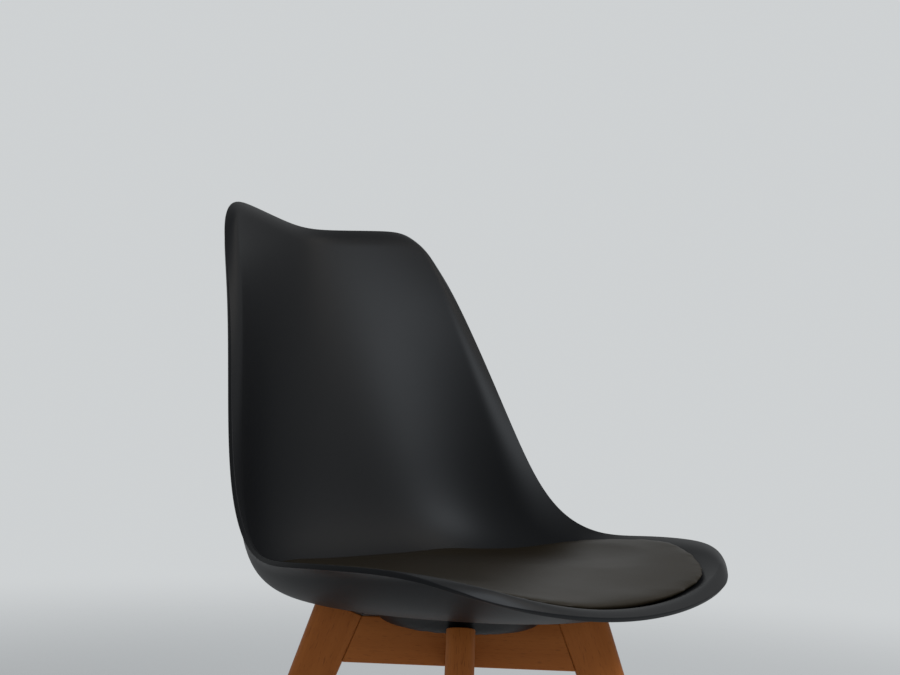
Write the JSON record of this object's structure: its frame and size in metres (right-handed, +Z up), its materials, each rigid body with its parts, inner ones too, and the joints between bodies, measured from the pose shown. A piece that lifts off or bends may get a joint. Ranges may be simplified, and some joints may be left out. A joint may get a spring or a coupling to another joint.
{
  "type": "padded shell dining chair",
  "caption": "Dining chair with a moulded black bucket shell and fixed padded seat, bolted to crossed wooden rails between splayed tapering wooden legs.",
  "frame": {"origin": "on the floor, at the middle of the box round the whole chair", "axes": "+Z up, the seat faces -Y, +X to the right of somebody standing in front of the chair"},
  "size_m": [0.4758, 0.5066, 0.8261],
  "materials": {
    "black_plastic": "fine matt moulded polypropylene with a soft sheen",
    "leatherette": "black coated fabric with a fine leather grain",
    "beech": "clear-lacquered beech, warm orange brown",
    "zinc_steel": "zinc-plated steel",
    "brass": "turned brass",
    "glide_plastic": "black moulded nylon"
  },
  "bodies": {
    "root": {"shell": "black_plastic", "seat_cushion": "leatherette", "leg_front_left": "beech", "leg_front_right": "beech", "leg_rear_left": "beech", "leg_rear_right": "beech", "rail_lower": "beech", "rail_upper": "beech", "rail_dowels": "beech", "frame_bolts": "zinc_steel", "spring_washers": "zinc_steel", "flat_washers": "zinc_steel", "threaded_inserts": "brass", "glide_front_left": "glide_plastic", "glide_front_right": "glide_plastic", "glide_rear_left": "glide_plastic", "glide_rear_right": "glide_plastic", "glide_nails": "zinc_steel"}
  },
  "joints": []
}
